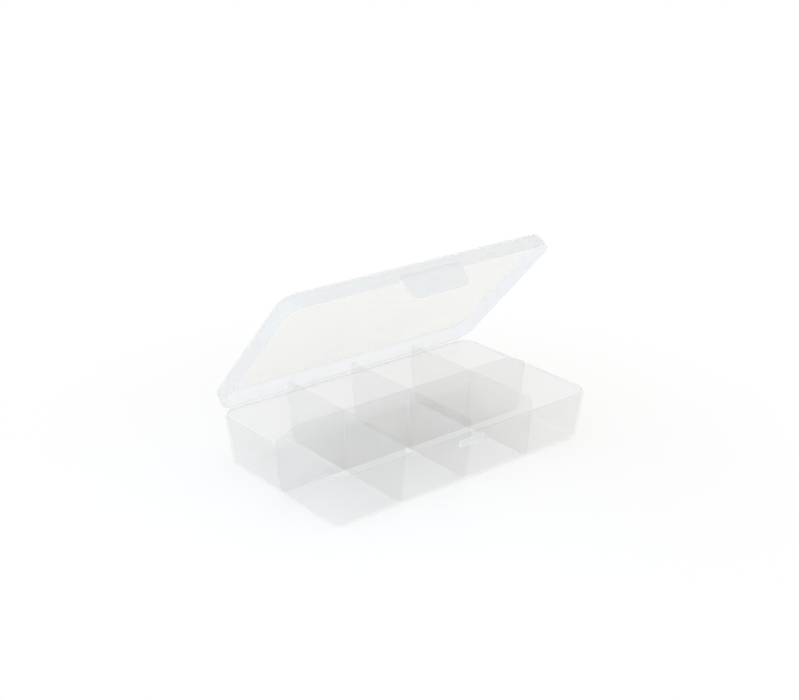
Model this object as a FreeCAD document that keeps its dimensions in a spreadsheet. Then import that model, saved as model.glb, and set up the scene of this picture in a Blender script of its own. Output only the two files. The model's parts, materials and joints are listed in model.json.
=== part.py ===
import FreeCAD, Part
import math
import os

import Sketcher

# Divider box: a tapered tray with fixed dividers and a hinged lid that latches at the front.
# X runs along the box, Y to the hinge at the rear, Z up, from the middle of the tray's underside.

os.makedirs("parts", exist_ok=True)
doc = FreeCAD.newDocument("DividerBox")

# Driving sizes in millimetres and degrees
sizes = {
    # Tray, measured over the top of its walls
    "tray_length": 257.4,
    "tray_width": 150.4,
    "rim_height": 43,
    "wall_thickness": 1.8,
    "wall_draft": 7.2,
    "corner_radius": 15,
    "floor_edge_radius": 5,
    # Ledge on the walls that the lid comes down on, and the lip that stands up inside the lid
    "ledge_drop": 2,
    "ledge_width": 1.1,
    "ledge_edge_bevel": 0.3,
    "lip_thickness": 0.65,
    "lip_edge_bevel": 0.2,
    # Dividers
    "divider_rise": 10,
    "divider_thickness": 1.2,
    "divider_end_inset": 0.7,
    "divider_corner_radius": 2.4,
    "divider_edge_bevel": 0.3,
    "divider_slope_length": 20,
    "divider_slope_drop": 8,
    "divider_slot_play": 0.1,
    # Catch on the front wall
    "catch_length": 25,
    "catch_drop": 3.6,
    "catch_height": 5.8,
    "catch_reach": 1.8,
    "catch_land": 1.2,
    "catch_edge_bevel": 0.4,
    # Lid
    "lid_thickness": 1.2,
    "lid_side_gap": 0.3,
    "lid_seat_gap": 0.2,
    "lid_headroom": 1,
    "lid_draft": 3,
    "lid_edge_radius": 5,
    "skirt_edge_bevel": 0.3,
    "lid_open_angle": 47.6,
    # Living hinge along the rear
    "hinge_setback": 2.2,
    "hinge_overrun": 6.5,
    "hinge_web_width": 0.6,
    "hinge_bead_radius": 0.55,
    "hinge_turning_gap": 0.06,
    "strip_thickness": 1.4,
    # Latch flap
    "flap_width": 59,
    "flap_length": 20.1,
    "flap_taper": 2,
    "flap_thickness": 1.5,
    "flap_corner_radius": 6,
    "flap_edge_bevel": 0.4,
    "fold_rise": 1.4,
    "flap_side_gap": 0.7,
    "latch_gap": 0.35,
    "hook_overhang": 0.5,
    "hook_height": 2.2,
    "hook_depth": 1.5,
    "hook_relief": 0.7,
    "web_end_inset": 1.5,
    "web_thickness": 0.4,
}

sheet = doc.addObject("Spreadsheet::Sheet", "Dims")
for row, (alias, size) in enumerate(sizes.items(), 1):
    sheet.set(f"A{row}", alias)
    sheet.set(f"B{row}", str(size))
    sheet.setAlias(f"B{row}", alias)
doc.recompute()

# Places that several pieces share, as expressions on the sheet
floor_top = "Dims.wall_thickness"
floor_inner_radius = "(Dims.floor_edge_radius - Dims.wall_thickness)"
divider_top = "(Dims.rim_height + Dims.divider_rise)"
half_lap_height = f"(({floor_top} + {divider_top}) / 2)"
column_pitch = "(Dims.tray_length / 2 - Dims.wall_thickness) / 2"
catch_top = "(Dims.rim_height - Dims.catch_drop)"
catch_foot = f"({catch_top} - Dims.catch_height)"
hinge_y = "(Dims.tray_width / 2 + Dims.hinge_setback)"
ledge_top = "(Dims.rim_height - Dims.ledge_drop)"
hinge_z = f"({ledge_top} + Dims.lid_seat_gap / 2)"
hinge_length = "2 * (Dims.tray_length / 2 - Dims.corner_radius + Dims.hinge_overrun)"
skirt_offset = "(Dims.lid_thickness + Dims.lid_side_gap - Dims.ledge_width)"
skirt_foot = f"({ledge_top} + Dims.lid_seat_gap)"
lid_top = f"({divider_top} + Dims.lid_headroom + Dims.lid_thickness)"
skirt_half_width = f"(Dims.tray_width / 2 + {skirt_offset})"
latch_fold = f"(Dims.rim_height + Dims.fold_rise - {hinge_z})"
hook_length = "(Dims.catch_length + 2 * Dims.hook_overhang)"


def outer_wall(half_size, height):
    """Half size of the tray over its drafted walls at a height."""
    return f"({half_size} - ({ledge_top} - {height}) * tan(Dims.wall_draft))"


def inner_wall(half_size, height):
    """Half size between the tray's walls at a height."""
    return f"({outer_wall(half_size, height)} - Dims.wall_thickness / cos(Dims.wall_draft))"


flap_face = f"({outer_wall('Dims.tray_width / 2', catch_foot)} + Dims.catch_reach + Dims.latch_gap)"

# Sketch point names and the clearance of a cutting tool past the face that it enters
START, END, CENTRE = range(1, 4)
ORIGIN, Y_AXIS = range(-1, -3, -1)
TOOL_MARGIN = 1.0
FLAT = 1e-4


def value_of(expression):
    return float(sheet.evalExpression(expression))


def new_body(label):
    body = doc.addObject("PartDesign::Body", label)
    body.Label = label
    return body


def origin_plane(body, role):
    return next(feature for feature in body.Origin.OriginFeatures if feature.Role == role)


def new_sketch(body, name, role, offset="0"):
    """A sketch on one of the body's own origin planes, moved along the plane's normal."""
    sketch = body.newObject("Sketcher::SketchObject", name)
    sketch.AttachmentSupport = [(origin_plane(body, role), "")]
    sketch.MapMode = "FlatFace"
    sketch.setExpression("AttachmentOffset.Base.z", offset)
    doc.recompute()
    return sketch


def bind(sketch, kind, *elements):
    """Add a dimension to a sketch whose size, the last of elements, is an expression."""
    *places, expression = elements
    index = sketch.addConstraint(Sketcher.Constraint(kind, *places, value_of(expression)))
    sketch.setExpression(f"Constraints[{index}]", expression)


def outline(sketch, corners):
    """A closed outline of straight lines through corners, each a pair of expressions."""
    points = [FreeCAD.Vector(value_of(x), value_of(y), 0) for x, y in corners]
    first = sketch.GeometryCount
    for start, end in zip(points, points[1:] + points[:1]):
        sketch.addGeometry(Part.LineSegment(start, end))
    for index, (x, y) in enumerate(corners):
        line = first + index
        following = first + (index + 1) % len(corners)
        sketch.addConstraint(Sketcher.Constraint("Coincident", line, END, following, START))
        bind(sketch, "DistanceX", ORIGIN, START, line, START, x)
        bind(sketch, "DistanceY", ORIGIN, START, line, START, y)


def circle(sketch, x, y, radius):
    centre = FreeCAD.Vector(value_of(x), value_of(y), 0)
    normal = FreeCAD.Vector(0, 0, 1)
    ring = sketch.addGeometry(Part.Circle(centre, normal, value_of(radius)))
    bind(sketch, "DistanceX", ORIGIN, START, ring, CENTRE, x)
    bind(sketch, "DistanceY", ORIGIN, START, ring, CENTRE, y)
    bind(sketch, "Radius", ring, radius)


def rounded_rectangle(sketch, length, width, radius, middle="0"):
    """A rectangle with round corners, centred in X, with its middle at a given Y."""
    half_x = value_of(f"{length} / 2")
    half_y = value_of(f"{width} / 2")
    round_size = value_of(radius)
    arcs = []
    for side_x, side_y, turn in ((-1, -1, 180), (1, -1, 270), (1, 1, 0), (-1, 1, 90)):
        x = side_x * (half_x - round_size)
        y = value_of(middle) + side_y * (half_y - round_size)
        ring = Part.Circle(FreeCAD.Vector(x, y, 0), FreeCAD.Vector(0, 0, 1), round_size)
        arc = Part.ArcOfCircle(ring, math.radians(turn), math.radians(turn + 90))
        arcs.append(sketch.addGeometry(arc))
    lines = []
    for arc, following in zip(arcs, arcs[1:] + arcs[:1]):
        start = sketch.getPoint(arc, END)
        end = sketch.getPoint(following, START)
        line = sketch.addGeometry(Part.LineSegment(start, end))
        sketch.addConstraint(Sketcher.Constraint("Tangent", arc, END, line, START))
        sketch.addConstraint(Sketcher.Constraint("Tangent", line, END, following, START))
        lines.append(line)
    front, right, rear, left = lines
    sketch.addConstraint(Sketcher.Constraint("Horizontal", rear))
    for line in (right, left):
        sketch.addConstraint(Sketcher.Constraint("Vertical", line))
    for arc in arcs[1:]:
        sketch.addConstraint(Sketcher.Constraint("Equal", arcs[0], arc))
    sketch.addConstraint(Sketcher.Constraint("Symmetric", front, START, front, END, Y_AXIS))
    bind(sketch, "Radius", arcs[0], radius)
    bind(sketch, "DistanceX", left, START, right, START, length)
    bind(sketch, "DistanceY", front, START, rear, START, width)
    bind(sketch, "DistanceY", ORIGIN, START, front, START, f"{middle} - {width} / 2")


def pad(body, name, sketch, length, reverse=False, both_sides=False):
    feature = body.newObject("PartDesign::Pad", name)
    feature.Profile = sketch
    feature.Reversed = reverse
    feature.SideType = "Symmetric" if both_sides else "One side"
    feature.setExpression("Length", length)
    doc.recompute()
    return feature


def pocket(body, name, sketch, length, reverse=False, both_sides=False):
    """Cut a sketch out of the body, and stop if nothing was in its way."""
    before = body.Shape.Volume
    feature = body.newObject("PartDesign::Pocket", name)
    feature.Profile = sketch
    feature.Reversed = reverse
    feature.SideType = "Symmetric" if both_sides else "One side"
    feature.setExpression("Length", length)
    doc.recompute()
    if body.Shape.Volume > before - FLAT:
        raise RuntimeError(f"{name} cuts nothing")
    return feature


def faces_where(feature, test):
    return [f"Face{index}" for index, face in enumerate(feature.Shape.Faces, 1) if test(face.BoundBox)]


def edges_where(feature, test):
    return [f"Edge{index}" for index, edge in enumerate(feature.Shape.Edges, 1) if test(edge.BoundBox)]


def level_at(height):
    """Test for faces and edges that lie flat at a height."""
    return lambda box: abs(box.ZMin - height) < FLAT and abs(box.ZMax - height) < FLAT


def upright(box):
    return box.ZLength > FLAT


def dress(body, kind, name, base, elements, size_name, size):
    """Add a fillet, chamfer, draft or thickness to elements of the feature before it."""
    feature = body.newObject(f"PartDesign::{kind}", name)
    feature.Base = (base, elements)
    feature.setExpression(size_name, size)
    return feature


def tapered_block(body, rim_plane, block_height, size, draft, edge_radius, middle="0", downward=False):
    """A solid block with drafted sides, full size at one end and rounded at its small end."""
    rim = new_sketch(body, "RimOutline", "XY_Plane", rim_plane)
    rounded_rectangle(rim, *size, middle)
    block = pad(body, "Block", rim, block_height, reverse=downward)
    rim_level = value_of(rim_plane)
    small_level = rim_level + value_of(block_height) * (-1 if downward else 1)
    sides = dress(body, "Draft", "SideDraft", block, faces_where(block, upright), "Angle", draft)
    sides.NeutralPlane = (block, faces_where(block, level_at(rim_level)))
    sides.Reversed = downward
    doc.recompute()
    small_edges = edges_where(sides, level_at(small_level))
    rounded = dress(body, "Fillet", "SmallEndEdge", sides, small_edges, "Radius", edge_radius)
    doc.recompute()
    return rounded


def hollow(body, block, open_level, thickness):
    """Hollow a block to an even wall, open at the level of its full end."""
    mouth = faces_where(block, level_at(open_level))
    feature = dress(body, "Thickness", "Hollow", block, mouth, "Value", thickness)
    feature.Reversed = True
    feature.Join = "Intersection"
    doc.recompute()
    return feature


def bevel(body, name, base, edges, size):
    dress(body, "Chamfer", name, base, edges, "Size", size)
    doc.recompute()


def tray_block(body):
    """The tray's outside below its lip, drawn at the ledge and drafted down to the floor."""
    size = ("Dims.tray_length", "Dims.tray_width", "Dims.corner_radius")
    floor_edge = "Dims.floor_edge_radius"
    return tapered_block(body, ledge_top, ledge_top, size, "Dims.wall_draft", floor_edge, downward=True)


def lid_block(body):
    """The lid's outside, in the hinge's own frame with the lid shut."""
    size = (
        f"(Dims.tray_length + 2 * {skirt_offset})",
        f"(Dims.tray_width + 2 * {skirt_offset})",
        f"(Dims.corner_radius + {skirt_offset})",
    )
    foot = f"{skirt_foot} - {hinge_z}"
    height = f"{lid_top} - {skirt_foot}"
    middle = f"-{hinge_y}"
    return tapered_block(body, foot, height, size, "Dims.lid_draft", "Dims.lid_edge_radius", middle)


def hang_on_hinge(body):
    """Place a piece drawn in the hinge's frame, turned as far as the lid stands open."""
    body.Placement = FreeCAD.Placement(FreeCAD.Vector(), FreeCAD.Rotation(FreeCAD.Vector(-1, 0, 0), 1))
    body.setExpression("Placement.Base.y", hinge_y)
    body.setExpression("Placement.Base.z", hinge_z)
    body.setExpression("Placement.Rotation.Angle", "Dims.lid_open_angle * 1 deg")


def add_lip(body):
    """The thin lip round the tray that stands up inside the shut lid."""
    ring = new_sketch(body, "LipOutline", "XY_Plane", ledge_top)
    for inset in ("Dims.ledge_width", "(Dims.ledge_width + Dims.lip_thickness)"):
        length = f"(Dims.tray_length - 2 * {inset})"
        width = f"(Dims.tray_width - 2 * {inset})"
        rounded_rectangle(ring, length, width, f"(Dims.corner_radius - {inset})")
    lip = pad(body, "Lip", ring, "Dims.ledge_drop")
    rim_edges = edges_where(lip, level_at(value_of("Dims.rim_height")))
    bevel(body, "LipEdges", lip, rim_edges, "Dims.lip_edge_bevel")


def make_tray_shell():
    body = new_body("tray_shell")
    ledge_level = value_of(ledge_top)
    half_length = value_of("Dims.tray_length / 2")
    half_width = value_of("Dims.tray_width / 2")
    at_ledge = level_at(ledge_level)

    def outermost(box):
        reach_x = max(abs(box.XMin), abs(box.XMax))
        reach_y = max(abs(box.YMin), abs(box.YMax))
        return reach_x > half_length - FLAT or reach_y > half_width - FLAT

    shell = hollow(body, tray_block(body), ledge_level, "Dims.wall_thickness")
    outer_edges = edges_where(shell, lambda box: at_ledge(box) and outermost(box))
    bevel(body, "LedgeEdges", shell, outer_edges, "Dims.ledge_edge_bevel")
    add_lip(body)
    return body


def make_catch_bar():
    """A ramp that the latch hook rides down, with a flat underside that holds it."""
    body = new_body("catch_bar")
    wall_top = outer_wall("Dims.tray_width / 2", catch_top)
    wall_foot = outer_wall("Dims.tray_width / 2", catch_foot)
    tip = f"({wall_foot} + Dims.catch_reach)"
    profile = new_sketch(body, "Profile", "YZ_Plane")
    outline(profile, [
        (f"-{wall_top}", catch_top),
        (f"-{tip}", f"{catch_foot} + Dims.catch_land"),
        (f"-{tip}", catch_foot),
        (f"-{wall_foot}", catch_foot),
    ])
    bar = pad(body, "Bar", profile, "Dims.catch_length", both_sides=True)
    tip_level = value_of(f"-{tip}")
    nose = edges_where(bar, lambda box: box.YMin < tip_level + FLAT)
    bevel(body, "NoseEdges", bar, nose, "Dims.catch_edge_bevel")
    return body


def divider_outline(sketch, half_size, upper_corners):
    """A plate between two walls of the tray, with its lower corners clear of the round floor edge."""
    floor_corner = f"({inner_wall(half_size, floor_top)} - {floor_inner_radius})"
    chamfer_top = f"({floor_top} + {floor_inner_radius})"
    right = [
        (floor_corner, floor_top),
        (inner_wall(half_size, chamfer_top), chamfer_top),
        (inner_wall(half_size, ledge_top), ledge_top),
        *upper_corners,
    ]
    left = [(f"-{x}", height) for x, height in reversed(right)]
    outline(sketch, right + left)


def round_top(body, plate):
    """Round a plate's corners above the rim, and bevel the edges along its top."""
    rim_level = value_of("Dims.rim_height")
    thickness = value_of("Dims.divider_thickness")

    def across(box):
        return abs(box.DiagonalLength - thickness) < FLAT

    corners = edges_where(plate, lambda box: across(box) and box.ZMin > rim_level + FLAT)
    rounded = dress(body, "Fillet", "TopCorners", plate, corners, "Radius", "Dims.divider_corner_radius")
    doc.recompute()
    at_top = level_at(value_of(divider_top))
    top_edges = edges_where(rounded, lambda box: at_top(box) and not across(box))
    bevel(body, "TopEdges", rounded, top_edges, "Dims.divider_edge_bevel")


def cut_slot(sketch, middle, lower, upper):
    half_slot = "(Dims.divider_thickness / 2 + Dims.divider_slot_play)"
    low_x = f"{middle} - {half_slot}"
    high_x = f"{middle} + {half_slot}"
    outline(sketch, [(low_x, lower), (high_x, lower), (high_x, upper), (low_x, upper)])


def make_long_divider():
    """The plate along the tray, slotted from above for the plates that cross it."""
    body = new_body("long_divider")
    slope_foot = f"({inner_wall('Dims.tray_length / 2', ledge_top)} - Dims.divider_end_inset)"
    slopes = [
        (slope_foot, f"{divider_top} - Dims.divider_slope_drop"),
        (f"({slope_foot} - Dims.divider_slope_length)", divider_top),
    ]
    profile = new_sketch(body, "Profile", "XZ_Plane")
    divider_outline(profile, "Dims.tray_length / 2", slopes)
    plate = pad(body, "Plate", profile, "Dims.divider_thickness", both_sides=True)
    round_top(body, plate)
    slots = new_sketch(body, "Slots", "XZ_Plane")
    for step in cross_steps.values():
        cut_slot(slots, f"{step} * {column_pitch}", half_lap_height, f"{divider_top} + {TOOL_MARGIN}")
    pocket(body, "HalfLaps", slots, "2 * Dims.divider_thickness", both_sides=True)
    return body


def make_cross_divider(place, step):
    """A plate across the tray, slotted from below to drop over the long one."""
    body = new_body(f"cross_divider_{place}")
    top_end = f"({inner_wall('Dims.tray_width / 2', ledge_top)} - Dims.divider_end_inset)"
    profile = new_sketch(body, "Profile", "YZ_Plane")
    divider_outline(profile, "Dims.tray_width / 2", [(top_end, divider_top)])
    plate = pad(body, "Plate", profile, "Dims.divider_thickness", both_sides=True)
    round_top(body, plate)
    slot = new_sketch(body, "Slot", "YZ_Plane")
    cut_slot(slot, "0", f"{floor_top} - {TOOL_MARGIN}", f"{half_lap_height} + Dims.divider_slot_play")
    pocket(body, "HalfLap", slot, "2 * Dims.divider_thickness", both_sides=True)
    body.setExpression("Placement.Base.x", f"{step} * {column_pitch}")
    return body


def make_tray_envelope():
    """The tray's outside as a solid, to trim the hinge strip that stands against it."""
    body = new_body("tray_envelope")
    tray_block(body)
    return body


def make_lid_envelope():
    """The lid's outside as a solid, to trim the hinge strip that stands against it."""
    body = new_body("lid_envelope")
    lid_block(body)
    hang_on_hinge(body)
    return body


def make_strip(label, corners):
    """A straight bar along the rear edge, before it is trimmed to the shell that it stands on."""
    blank = new_body(f"{label}_blank")
    section = new_sketch(blank, "Section", "YZ_Plane")
    outline(section, corners)
    pad(blank, "Bar", section, hinge_length, both_sides=True)
    return blank


def trimmed(label, blank, against):
    piece = doc.addObject("Part::Cut", label)
    piece.Label = label
    piece.Base = blank
    piece.Tool = against
    return piece


def make_tray_hinge_strip():
    """The rear of the ledge carried out straight to the web, past the start of the round corners."""
    underside = f"({ledge_top} - Dims.strip_thickness)"
    root = "(Dims.tray_width / 2 - Dims.corner_radius)"
    end = f"({hinge_y} - Dims.hinge_web_width)"
    label = "tray_hinge_strip"
    blank = make_strip(label, [(root, underside), (end, underside), (end, ledge_top), (root, ledge_top)])
    return trimmed(label, blank, make_tray_envelope())


def make_lid_hinge_strip():
    """The lip at the foot of the lid's rear skirt, over the tray's strip when the lid is shut."""
    foot = f"({skirt_foot} - {hinge_z})"
    top = f"({foot} + Dims.strip_thickness)"
    root = "-(Dims.hinge_setback + Dims.corner_radius)"
    end = "-(Dims.hinge_bead_radius + Dims.hinge_turning_gap)"
    label = "lid_hinge_strip"
    blank = make_strip(label, [(root, foot), (end, foot), (end, top), (root, top)])
    hang_on_hinge(blank)
    return trimmed(label, blank, make_lid_envelope())


def make_lid_hinge_web():
    """The thin web that the lid bends on, out from the tray's strip to a round bead on the axis."""
    body = new_body("lid_hinge_web")
    section = new_sketch(body, "Section", "YZ_Plane")
    root = f"({hinge_y} - Dims.hinge_web_width)"
    underside = f"({ledge_top} - Dims.web_thickness)"
    outline(section, [(root, underside), (hinge_y, underside), (hinge_y, ledge_top), (root, ledge_top)])
    pad(body, "Web", section, hinge_length, both_sides=True)
    ring = new_sketch(body, "Ring", "YZ_Plane")
    circle(ring, hinge_y, hinge_z, "Dims.hinge_bead_radius")
    pad(body, "Bead", ring, hinge_length, both_sides=True)
    return body


def make_lid_shell():
    """The lid, drawn shut in the hinge's frame, with a notch at the latch."""
    body = new_body("lid_shell")
    foot = f"({skirt_foot} - {hinge_z})"
    foot_level = value_of(foot)
    shell = hollow(body, lid_block(body), foot_level, "Dims.lid_thickness")
    bevel(body, "SkirtEdges", shell, edges_where(shell, level_at(foot_level)), "Dims.skirt_edge_bevel")
    below = f"({foot} - {TOOL_MARGIN})"
    half_notch = "(Dims.flap_width / 2 + Dims.flap_side_gap)"
    notch_top = f"({latch_fold} - Dims.flap_thickness / 2)"
    front = new_sketch(body, "LatchNotch", "XZ_Plane", f"{skirt_half_width} + {hinge_y} + {TOOL_MARGIN}")
    outline(front, [
        (f"-{half_notch}", below),
        (half_notch, below),
        (half_notch, notch_top),
        (f"-{half_notch}", notch_top),
    ])
    pocket(body, "LatchNotchCut", front, f"2 * Dims.lid_thickness + {TOOL_MARGIN}")
    hang_on_hinge(body)
    return body


def skirt_face_at(level):
    """The lid's drafted front face at a height in the hinge's frame."""
    rise = f"({level} + {hinge_z} - {skirt_foot})"
    return f"-({skirt_half_width} - {rise} * tan(Dims.lid_draft) + {hinge_y})"


def make_latch_hinge_web():
    """The thin web that joins the flap's fold to the lid's front skirt."""
    body = new_body("latch_hinge_web")
    section = new_sketch(body, "Section", "YZ_Plane")
    flap_side = f"-({flap_face} + {hinge_y})"
    lower = f"({latch_fold} - Dims.web_thickness / 2)"
    upper = f"({latch_fold} + Dims.web_thickness / 2)"
    outline(section, [
        (skirt_face_at(lower), lower),
        (flap_side, lower),
        (flap_side, upper),
        (skirt_face_at(upper), upper),
    ])
    pad(body, "Web", section, "Dims.flap_width - 2 * Dims.web_end_inset", both_sides=True)
    hang_on_hinge(body)
    return body


def make_latch_flap():
    """The tab on the lid's front, with a round fold at its top and a hook for the catch bar."""
    body = new_body("latch_flap")
    inner_face = f"({flap_face} + {hinge_y})"
    foot = f"({latch_fold} - Dims.flap_length)"
    half_top = "(Dims.flap_width / 2)"
    half_foot = "(Dims.flap_width / 2 - Dims.flap_taper)"
    face = new_sketch(body, "Face", "XZ_Plane", inner_face)
    outline(face, [
        (f"-{half_foot}", foot),
        (half_foot, foot),
        (half_top, latch_fold),
        (f"-{half_top}", latch_fold),
    ])
    plate = pad(body, "Plate", face, "Dims.flap_thickness")
    foot_level = value_of(foot)
    corners = edges_where(plate, lambda box: abs(box.ZMax - foot_level) < FLAT and box.XLength < FLAT)
    rounded = dress(body, "Fillet", "FootCorners", plate, corners, "Radius", "Dims.flap_corner_radius")
    doc.recompute()
    foot_edges = edges_where(rounded, level_at(foot_level))
    bevel(body, "FaceEdges", rounded, foot_edges, "Dims.flap_edge_bevel")
    fold = new_sketch(body, "Fold", "YZ_Plane")
    circle(fold, f"-({inner_face} + Dims.flap_thickness / 2)", latch_fold, "Dims.flap_thickness / 2")
    pad(body, "RoundFold", fold, "Dims.flap_width", both_sides=True)
    hook_top = f"({catch_foot} - Dims.latch_gap - {hinge_z})"
    hook_tip = f"-({inner_face} - Dims.hook_depth)"
    hook = new_sketch(body, "Hook", "YZ_Plane")
    outline(hook, [
        (f"-{inner_face}", hook_top),
        (hook_tip, hook_top),
        (hook_tip, f"{hook_top} - Dims.hook_relief"),
        (f"-{inner_face}", f"{hook_top} - Dims.hook_height"),
    ])
    pad(body, "HookBar", hook, hook_length, both_sides=True)
    hang_on_hinge(body)
    return body


cross_steps = {"left": -1, "middle": 0, "right": 1}
pieces = [make_tray_shell(), make_catch_bar(), make_long_divider()]
pieces += [make_cross_divider(place, step) for place, step in cross_steps.items()]
pieces += [make_tray_hinge_strip(), make_lid_hinge_web(), make_lid_hinge_strip()]
pieces += [make_lid_shell(), make_latch_hinge_web(), make_latch_flap()]
doc.recompute()

for feature in doc.Objects:
    if "Invalid" in feature.State or "Error" in feature.State:
        raise RuntimeError(f"{feature.Name} failed: {feature.getStatusString()}")
for piece in pieces:
    if piece.Shape.isNull() or not piece.Shape.isValid():
        raise RuntimeError(f"{piece.Label} has no valid shape")
for piece in pieces:
    piece.Shape.exportStep(f"parts/{piece.Label}.step")
    print(f"{piece.Label}: {len(piece.Shape.Solids)} solid, {piece.Shape.Volume / 1000:.2f} cm3")
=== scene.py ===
import json
import math

import bpy
from mathutils import Matrix, Vector

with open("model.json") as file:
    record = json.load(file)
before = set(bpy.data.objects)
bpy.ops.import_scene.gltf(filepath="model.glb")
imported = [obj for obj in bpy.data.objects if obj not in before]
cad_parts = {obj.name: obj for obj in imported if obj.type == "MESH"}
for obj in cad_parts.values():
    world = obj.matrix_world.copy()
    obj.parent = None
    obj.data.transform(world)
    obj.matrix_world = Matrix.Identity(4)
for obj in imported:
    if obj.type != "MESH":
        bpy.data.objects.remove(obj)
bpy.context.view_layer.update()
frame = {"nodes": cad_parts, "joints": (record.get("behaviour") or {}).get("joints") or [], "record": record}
nodes = frame["nodes"]
scene = bpy.context.scene
scene.view_settings.view_transform = "Standard"
print("frame loaded with", len(nodes), "nodes")


def addNode(tree, kind, place, settings=None, inputs=None):
    node = tree.nodes.new(kind)
    node.location = place
    for name, value in (settings or {}).items():
        setattr(node, name, value)
    for name, value in (inputs or {}).items():
        if isinstance(value, bpy.types.NodeSocket):
            tree.links.new(value, node.inputs[name])
        else:
            node.inputs[name].default_value = value
    return node


def addMath(tree, place, operation, *values):
    settings = {"operation": operation}
    return addNode(tree, "ShaderNodeMath", place, settings, dict(enumerate(values))).outputs[0]


def addMix(tree, place, factor, first, second):
    colours = [value if isinstance(value, bpy.types.NodeSocket) else (*value, 1) for value in (first, second)]
    inputs = {0: factor, 6: colours[0], 7: colours[1]}
    return addNode(tree, "ShaderNodeMix", place, {"data_type": "RGBA"}, inputs).outputs[2]


def addRange(tree, place, value, low, high, toLow=0.0, toHigh=1.0):
    inputs = {"Value": value, "From Min": low, "From Max": high, "To Min": toLow, "To Max": toHigh}
    return addNode(tree, "ShaderNodeMapRange", place, {"interpolation_type": "SMOOTHSTEP"}, inputs).outputs[0]


def newGroup(name, inputs, output):
    group = bpy.data.node_groups.new(name, "ShaderNodeTree")
    for label, (kind, value) in inputs.items():
        group.interface.new_socket(label, in_out="INPUT", socket_type=kind).default_value = value
    group.interface.new_socket(output, in_out="OUTPUT", socket_type="NodeSocketFloat")
    start = addNode(group, "NodeGroupInput", (-1100, 0))
    end = addNode(group, "NodeGroupOutput", (700, 0))
    return group, start.outputs, end


def coordinates(tree, place):
    return addNode(tree, "ShaderNodeTexCoord", place).outputs


flowSetup = {
    "cloud": {"Detail": 3.0, "Roughness": 0.55, "Distortion": 0.6},
    "clearBelow": 0.3,
    "cloudyAbove": 0.7,
}


# cloudy bands that the melt leaves as it fills the mould
def makeMouldFlow(setup):
    inputs = {"Stretch": ("NodeSocketVector", (1, 1, 1)), "Size": ("NodeSocketFloat", 20.0)}
    group, start, end = newGroup("mouldFlow", inputs, "Cloud")
    spot = coordinates(group, (-1100, 300))["Object"]
    stretched = addNode(group, "ShaderNodeVectorMath", (-800, 200), {"operation": "MULTIPLY"}, {
        0: spot, 1: start["Stretch"]})
    cloud = addNode(group, "ShaderNodeTexNoise", (-500, 200), inputs={
        "Vector": stretched.outputs[0], "Scale": start["Size"], **setup["cloud"]})
    band = addRange(group, (-100, 200), cloud.outputs[0], setup["clearBelow"], setup["cloudyAbove"])
    group.links.new(band, end.inputs["Cloud"])
    return group


rippleSetup = {
    "wave": {"Scale": 38.0, "Detail": 1.0, "Roughness": 0.4},
    "grain": {"Scale": 900.0, "Detail": 2.0, "Roughness": 0.6},
}


# slow waviness of the sheet under a fine mould texture
def makeSheetRipple(setup):
    inputs = {"Wave": ("NodeSocketFloat", 1.0), "Grain": ("NodeSocketFloat", 0.1)}
    group, start, end = newGroup("sheetRipple", inputs, "Height")
    spot = coordinates(group, (-1100, 300))["Object"]
    wave = addNode(group, "ShaderNodeTexNoise", (-700, 300), inputs={"Vector": spot, **setup["wave"]})
    grain = addNode(group, "ShaderNodeTexNoise", (-700, -100), inputs={"Vector": spot, **setup["grain"]})
    fine = addMath(group, (-300, -100), "MULTIPLY", grain.outputs[0], start["Grain"])
    both = addMath(group, (0, 100), "MULTIPLY_ADD", wave.outputs[0], start["Wave"], fine)
    group.links.new(both, end.inputs["Height"])
    return group


scuffSetup = {
    "turns": ((0.3, 0.2, 0.5), (-0.4, 0.9, -0.8)),  # one for each direction of the scuffs
    "stretch": (14, 520, 520),
    "hair": {"Scale": 1.0, "Detail": 1.0},
    "hairEdges": (0.66, 0.74),
    "patch": {"Scale": 16.0, "Detail": 2.0},
    "patchEdges": (0.48, 0.68),
}


# hairline scuffs from handling, in crossing directions and in patches
def makeHandlingScuffs(setup):
    group, start, end = newGroup("handlingScuffs", {"Amount": ("NodeSocketFloat", 0.5)}, "Scuff")
    spot = coordinates(group, (-1300, 300))["Object"]
    lines = []
    for row, turn in enumerate(setup["turns"]):
        height = 300 - 350 * row
        spun = addNode(group, "ShaderNodeMapping", (-1000, height), inputs={
            "Vector": spot, "Rotation": turn, "Scale": setup["stretch"]})
        hair = addNode(group, "ShaderNodeTexNoise", (-700, height), inputs={
            "Vector": spun.outputs[0], **setup["hair"]})
        lines.append(addRange(group, (-400, height), hair.outputs[0], *setup["hairEdges"]))
    patch = addNode(group, "ShaderNodeTexNoise", (-700, -450), inputs={"Vector": spot, **setup["patch"]})
    where = addRange(group, (-400, -450), patch.outputs[0], *setup["patchEdges"])
    crossed = addMath(group, (-100, 200), "MAXIMUM", *lines)
    patchy = addMath(group, (100, 0), "MULTIPLY", crossed, where)
    group.links.new(addMath(group, (300, 0), "MULTIPLY", patchy, start["Amount"]), end.inputs["Scuff"])
    return group


lipSetup = {"samples": 6, "flatAbove": 0.95, "edgeBelow": 0.80}


# mask of the corners and lips, where painted edge lines go: a lighter clear tint for a painted edge glow and
# a greyer, thicker milk for painted edge shade, standing in for the light that a rounded edge bends
def makeEdgeLineMask(setup):
    group, start, end = newGroup("paintedEdgeLineMask", {"Reach": ("NodeSocketFloat", 0.0008)}, "Lip")
    rounded = addNode(group, "ShaderNodeBevel", (-700, 100), {"samples": setup["samples"]}, {
        "Radius": start["Reach"]})
    flat = addNode(group, "ShaderNodeNewGeometry", (-700, -150))
    likeness = addNode(group, "ShaderNodeVectorMath", (-400, 0), {"operation": "DOT_PRODUCT"}, {
        0: rounded.outputs[0], 1: flat.outputs["Normal"]})
    edge = addRange(group, (-100, 0), likeness.outputs["Value"], setup["flatAbove"], setup["edgeBelow"])
    group.links.new(edge, end.inputs["Lip"])
    return group


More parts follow.
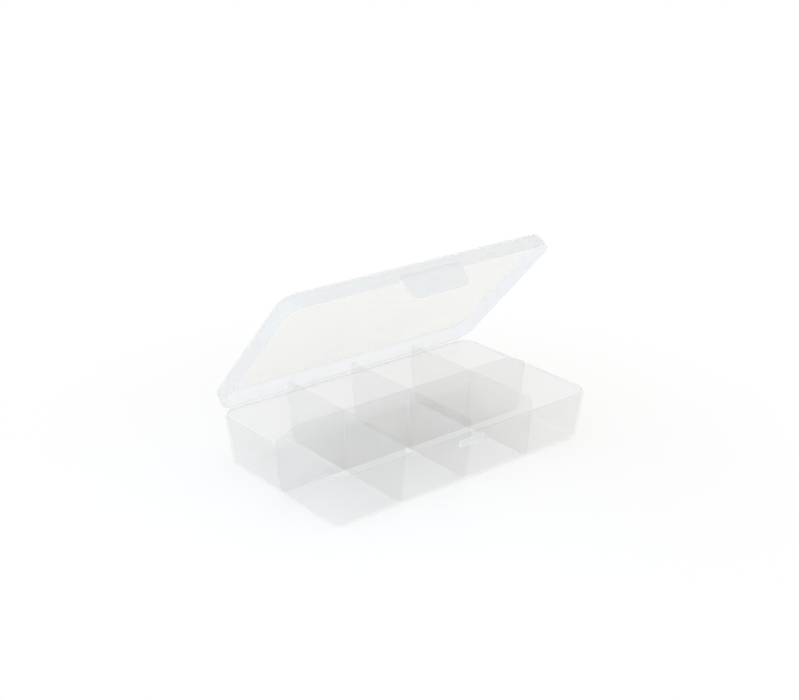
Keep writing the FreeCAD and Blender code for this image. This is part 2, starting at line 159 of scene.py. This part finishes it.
broadSetup = {"startsAt": 0.55, "fullAt": 0.9}


# mask of the broad faces that lie square to an axis of the piece
def makeBroadFace(setup):
    group, start, end = newGroup("broadFace", {"Axis": ("NodeSocketVector", (0, 0, 1))}, "Broad")
    facing = coordinates(group, (-1100, 300))["Normal"]
    along = addNode(group, "ShaderNodeVectorMath", (-700, 100), {"operation": "DOT_PRODUCT"}, {
        0: facing, 1: start["Axis"]})
    either = addMath(group, (-400, 100), "ABSOLUTE", along.outputs["Value"])
    square = addRange(group, (-100, 100), either, setup["startsAt"], setup["fullAt"])
    group.links.new(square, end.inputs["Broad"])
    return group


mouldFlow = makeMouldFlow(flowSetup)
sheetRipple = makeSheetRipple(rippleSetup)
handlingScuffs = makeHandlingScuffs(scuffSetup)
paintedEdgeLineMask = makeEdgeLineMask(lipSetup)
broadFace = makeBroadFace(broadSetup)
print("shared effects ready")


def placeGroup(tree, group, place, inputs, output):
    return addNode(tree, "ShaderNodeGroup", place, {"node_tree": group}, inputs).outputs[output]


# thin milky polypropylene: clear sheet, milk in it, and a free way for lamp light
def milkyPlastic(name, look):
    material = bpy.data.materials.new(name)
    material.use_nodes = True
    tree = material.node_tree
    out = tree.nodes["Material Output"]
    out.location = (1500, 0)
    flow = {"Stretch": look["flowStretch"], "Size": look["flowSize"]}
    ripple = {"Wave": look["wave"], "Grain": look["grain"]}
    cloud = placeGroup(tree, mouldFlow, (-1300, 500), flow, "Cloud")
    broad = placeGroup(tree, broadFace, (-1300, 250), {"Axis": look["broadAxis"]}, "Broad")
    paintedEdgeLine = placeGroup(tree, paintedEdgeLineMask, (-1300, 50), {"Reach": look["lipReach"]}, "Lip")
    scuff = placeGroup(tree, handlingScuffs, (-1300, -150), {"Amount": look["scuffs"]}, "Scuff")
    height = placeGroup(tree, sheetRipple, (-1300, -350), ripple, "Height")
    bump = addNode(tree, "ShaderNodeBump", (-900, -350), inputs={
        "Height": height, "Strength": look["bump"], "Distance": look["bumpDepth"]}).outputs[0]
    satin = addMath(tree, (-900, -50), "MULTIPLY_ADD", cloud, look["roughSpread"], look["rough"])
    worn = addMath(tree, (-650, -50), "MULTIPLY_ADD", scuff, look["scuffRough"], satin)
    sideTint = addMix(tree, (-900, 700), cloud, look["sideColour"], look["sideCloud"])
    broadTint = addMix(tree, (-900, 480), cloud, look["broadColour"], look["broadCloud"])
    sheetTint = addMix(tree, (-650, 600), broad, sideTint, broadTint)
    # the lips get a lighter clear tint: a painted edge glow
    clearTint = addMix(tree, (-400, 600), paintedEdgeLine, sheetTint, look["edgeGlowColour"])
    clear = tree.nodes["Principled BSDF"]
    clear.location = (0, 500)
    clear.inputs["IOR"].default_value = look["bend"]
    clear.inputs["Transmission Weight"].default_value = 1.0
    clear.inputs["Coat Weight"].default_value = look["gloss"]
    clear.inputs["Coat Roughness"].default_value = look["glossRough"]
    for socket, value in (("Base Color", clearTint), ("Roughness", worn), ("Normal", bump)):
        tree.links.new(value, clear.inputs[socket])
    milkSheet = addMix(tree, (-650, 350), broad, look["milkSide"], look["milkBroad"])
    # the lips get a greyer milk: painted edge shade
    milkTint = addMix(tree, (-400, 250), paintedEdgeLine, milkSheet, look["edgeShadeMilk"])
    thickness = addRange(tree, (-650, 250), broad, 0.0, 1.0, look["sideMilk"], look["broadMilk"])
    patchy = addMath(tree, (-400, 50), "MULTIPLY_ADD", cloud, look["milkSpread"], thickness)
    # more milk at the lips, for the painted edge lines
    milkAlphaWithEdgeLines = addMath(tree, (-200, 50), "MULTIPLY_ADD", paintedEdgeLine, look["edgeLineMilkAmount"], patchy)
    milk = addNode(tree, "ShaderNodeBsdfPrincipled", (0, -300), inputs={
        "Base Color": milkTint, "Roughness": worn, "Alpha": milkAlphaWithEdgeLines, "Normal": bump, "IOR": look["milkBend"]})
    haze = addNode(tree, "ShaderNodeBsdfTranslucent", (0, -700), inputs={
        "Color": (*look["hazeColour"], 1), "Normal": bump})
    cloudy = addNode(tree, "ShaderNodeMixShader", (350, -300), inputs={
        0: look["hazeShare"], 1: milk.outputs[0], 2: haze.outputs[0]})
    body = addNode(tree, "ShaderNodeMixShader", (600, 100), inputs={
        0: look["milkShare"], 1: clear.outputs[0], 2: cloudy.outputs[0]})
    path = addNode(tree, "ShaderNodeLightPath", (300, 800)).outputs
    lit = addMath(tree, (600, 700), "MAXIMUM", path["Is Shadow Ray"], path["Is Diffuse Ray"])
    # light that stays trapped between the sheets gets out
    deep = addMath(tree, (600, 500), "GREATER_THAN", path["Ray Depth"], look["trapDepth"])
    passing = addMath(tree, (850, 600), "MAXIMUM", lit, deep)
    way = addNode(tree, "ShaderNodeBsdfTransparent", (850, -200), inputs={
        "Color": (*look["shadowColour"], 1)})
    whole = addNode(tree, "ShaderNodeMixShader", (1200, 0), inputs={
        0: passing, 1: body.outputs[0], 2: way.outputs[0]})
    tree.links.new(whole.outputs[0], out.inputs["Surface"])
    return material


trayLook = {
    "sideColour": (0.959, 0.952, 0.940),
    "sideCloud": (0.970, 0.964, 0.954),
    "broadColour": (0.980, 0.976, 0.965),
    "broadCloud": (0.988, 0.985, 0.976),
    # lighter clear tint at the lips: painted edge glow
    "edgeGlowColour": (0.985, 0.987, 0.99),
    "broadAxis": (0, 0, 1),          # across the floor
    # cool milk on the walls, warmer on the floor: painted cool light from the left on the walls
    "milkSide": (0.92, 0.94, 0.965),
    "milkBroad": (0.94, 0.94, 0.93),
    # greyer milk at the lips: painted edge shade
    "edgeShadeMilk": (0.85, 0.87, 0.90),
    "milkShare": 0.5,
    "hazeShare": 0.25,               # light that soaks through from the far side
    "hazeColour": (0.93, 0.935, 0.935),
    "sideMilk": 0.20,
    "broadMilk": 0.12,
    "milkSpread": 0.08,
    # how much milk the painted edge lines add
    "edgeLineMilkAmount": 0.7,
    "lipReach": 0.0009,              # metres
    "shadowColour": (0.98, 0.98, 0.978),
    "bend": 1.01,                    # a thin sheet hardly bends what is seen through it
    "milkBend": 1.46,
    "trapDepth": 8.5,                # bounces
    "gloss": 0.12,
    "glossRough": 0.2,
    "flowStretch": (1.0, 1.0, 2.0),
    "flowSize": 16.0,
    "rough": 0.10,
    "roughSpread": 0.05,
    "scuffs": 0.15,
    "scuffRough": 0.2,
    "wave": 1.0,
    "grain": 0.08,
    "bump": 0.05,
    "bumpDepth": 0.0004,             # metres
}
lidHinge = next(joint for joint in frame["joints"] if joint["name"] == "lid_hinge")
lidTilt = math.radians(-lidHinge["range_deg"][0])    # from shut to the way the lid stands at rest
lidLook = {
    **trayLook,
    "sideColour": (0.982, 0.985, 0.985),
    "sideCloud": (0.988, 0.991, 0.991),
    # warmer, darker panel tint: partly the plastic's own tone, partly painted shade on the panel that faces
    # down
    "broadColour": (0.942, 0.940, 0.908),
    "broadCloud": (0.951, 0.950, 0.922),
    "broadAxis": (0, math.sin(lidTilt), math.cos(lidTilt)),
    # cool milk on the skirts: painted cool light from the left; warmer milk on the panel: painted shade
    "milkSide": (0.905, 0.945, 0.985),
    "milkBroad": (0.91, 0.91, 0.885),
    "sideMilk": 0.42,
    "broadMilk": 0.14,
    "flowStretch": (1.0, 1.4, 1.4),
}
dividerLook = {
    **trayLook,
    "sideColour": (0.968, 0.965, 0.955),
    "sideCloud": (0.976, 0.974, 0.966),
    # greyer milk at the dividers' edges: darker painted edge shade
    "edgeShadeMilk": (0.74, 0.77, 0.81),
    "hazeShare": 0.15,
    "sideMilk": 0.10,
    "broadMilk": 0.10,
    "flowStretch": (1.0, 1.0, 1.0),
    "flowSize": 20.0,
}
thickLook = {                        # the catch bar
    **trayLook,
    "sideColour": (0.985, 0.985, 0.982),
    "sideCloud": (0.990, 0.990, 0.988),
    "milkSide": (0.95, 0.955, 0.96),
    "milkBroad": (0.95, 0.955, 0.96),
    # slightly greyer milk at the edges: faint painted edge shade
    "edgeShadeMilk": (0.93, 0.935, 0.945),
    "milkShare": 0.7,
    "sideMilk": 0.7,
    "broadMilk": 0.7,
    "rough": 0.18,
    "scuffs": 0.3,
}
hingeLook = {                        # thin and drawn out, so clearer than the rest
    **thickLook,
    "milkShare": 0.15,
    "hazeShare": 0.0,
    "sideMilk": 0.2,
    "broadMilk": 0.2,
    "rough": 0.2,
    "flowSize": 60.0,
}
hingePlastic = milkyPlastic("hingePlastic", hingeLook)

finishes = {
    "tray_polypropylene": milkyPlastic("trayPlastic", trayLook),
    "lid_polypropylene": milkyPlastic("lidPlastic", lidLook),
    "divider_polypropylene": milkyPlastic("dividerPlastic", dividerLook),
    "thick_polypropylene": milkyPlastic("thickPlastic", thickLook),
    "fold_polypropylene": hingePlastic,
}
for part in frame["record"]["subparts"]:
    mesh = nodes[part["node"]].data
    mesh.materials.clear()
    onHinge = part["node"].endswith("hinge_strip")
    mesh.materials.append(hingePlastic if onHinge else finishes[part["material_slot"]])
print("finishes on", len(nodes), "nodes")


# 1 for rays that show the background: straight, mirrored or through the plastic
def seenRays(tree, place):
    path = addNode(tree, "ShaderNodeLightPath", place).outputs
    first = addMath(tree, (place[0] + 200, place[1]), "MAXIMUM", path["Is Camera Ray"], path["Is Glossy Ray"])
    return addMath(tree, (place[0] + 400, place[1]), "MAXIMUM", first, path["Is Transmission Ray"])


floorLook = {
    "size": 8.0,
    "colour": (0.96, 0.96, 0.96),
    "drop": 0.0003,                  # metres, keeps the card off the box's underside
    "fadeStart": 0.14,               # metres from the middle, where the white takes over
    "fadeEnd": 0.36,
}


def makeFloor(look):
    half = look["size"] / 2
    corners = [(-half, -half, 0), (half, -half, 0), (half, half, 0), (-half, half, 0)]
    mesh = bpy.data.meshes.new("studioFloor")
    mesh.from_pydata(corners, [], [(0, 1, 2, 3)])
    floor = bpy.data.objects.new("studioFloor", mesh)
    floor.location.z = -look["drop"]
    scene.collection.objects.link(floor)
    material = bpy.data.materials.new("floorCard")
    material.use_nodes = True
    tree = material.node_tree
    tree.nodes.remove(tree.nodes["Principled BSDF"])
    card = addNode(tree, "ShaderNodeBsdfDiffuse", (-300, 100), inputs={"Color": (*look["colour"], 1)})
    white = addNode(tree, "ShaderNodeEmission", (-300, -100))
    away = addNode(tree, "ShaderNodeVectorMath", (-900, 300), {"operation": "LENGTH"}, {
        0: coordinates(tree, (-1100, 300))["Object"]})
    fade = addRange(tree, (-700, 300), away.outputs["Value"], look["fadeStart"], look["fadeEnd"])
    share = addMath(tree, (-500, 200), "MULTIPLY", fade, seenRays(tree, (-1100, 0)))
    mix = addNode(tree, "ShaderNodeMixShader", (0, 0), inputs={
        0: share, 1: card.outputs[0], 2: white.outputs[0]})
    tree.links.new(mix.outputs[0], tree.nodes["Material Output"].inputs["Surface"])
    mesh.materials.append(material)


roomLook = {
    "light": 0.95,
    "leftSide": (0.76, 0.87, 1.0),
    "rightSide": (1.0, 0.87, 0.72),
    "sideReach": 0.9,                # how far the two colours run into each other
    "backdrop": (1, 1, 1),
}


def makeRoom(look):
    world = bpy.data.worlds.new("studioRoom")
    world.use_nodes = True
    scene.world = world
    tree = world.node_tree
    leftLight, rightLight = (
        [look["light"] * level for level in look[name]] for name in ("leftSide", "rightSide"))
    across = addNode(tree, "ShaderNodeSeparateXYZ", (-900, 300), inputs={
        0: coordinates(tree, (-1100, 300))["Generated"]})
    side = addRange(tree, (-700, 300), across.outputs["X"], -look["sideReach"], look["sideReach"])
    light = addMix(tree, (-500, 300), side, leftLight, rightLight)
    colour = addMix(tree, (-250, 100), seenRays(tree, (-900, 0)), light, look["backdrop"])
    tree.links.new(colour, tree.nodes["Background"].inputs["Color"])


# places and sizes in metres, power in watts
lamps = {
    "leftBank": {"place": (-0.7, -0.35, 0.5), "size": (1.2, 0.9), "power": 3.0, "colour": (0.70, 0.85, 1.0)},
    "rightCard": {"place": (0.75, 0.10, 0.5), "size": (1.2, 0.9), "power": 0.8, "colour": (1.0, 0.85, 0.68)},
    "overhead": {"place": (0.2, -0.1, 1.7), "size": (1.4, 1.0), "power": 2.0, "colour": (1.0, 1.0, 1.0)},
}
lampTarget = (0, 0, 0.06)


def makeLamps(rig, target):
    for name, values in rig.items():
        lamp = bpy.data.lights.new(name, "AREA")
        lamp.shape = "RECTANGLE"
        lamp.size, lamp.size_y = values["size"]
        lamp.energy = values["power"]
        lamp.color = values["colour"]
        holder = bpy.data.objects.new(name, lamp)
        holder.location = values["place"]
        holder.rotation_euler = (Vector(target) - Vector(values["place"])).to_track_quat("-Z", "Y").to_euler()
        scene.collection.objects.link(holder)


cameraSetup = {
    "sensor": 36.0,          # mm wide
    "lens": 60.08,           # mm
    "azimuth": -39.2508,     # degrees, 0 looks along +Y
    "elevation": 21.5977,
    "roll": 0.2114,
    "distance": 1.0656,      # metres from the middle of the underside
    "sideways": -0.00723,
    "upward": 0.07959,
}


def makeCamera(setup):
    azimuth, elevation, roll = (math.radians(setup[name]) for name in ("azimuth", "elevation", "roll"))
    level = math.cos(elevation)
    back = Vector((math.sin(azimuth) * level, -math.cos(azimuth) * level, math.sin(elevation)))
    right = (-back).cross(Vector((0, 0, 1))).normalized()
    up = right.cross(-back)
    place = back * setup["distance"] + right * setup["sideways"] + up * setup["upward"]
    tiltedRight = right * math.cos(roll) + up * math.sin(roll)
    tiltedUp = up * math.cos(roll) - right * math.sin(roll)
    data = bpy.data.cameras.new("photoCamera")
    data.sensor_width = setup["sensor"]
    data.lens = setup["lens"]
    camera = bpy.data.objects.new("photoCamera", data)
    axes = Matrix((tiltedRight, tiltedUp, back)).transposed().to_4x4()
    camera.matrix_world = Matrix.Translation(place) @ axes
    scene.collection.objects.link(camera)
    scene.camera = camera


makeFloor(floorLook)
makeRoom(roomLook)
makeLamps(lamps, lampTarget)
makeCamera(cameraSetup)
print("stage, lamps and camera ready")
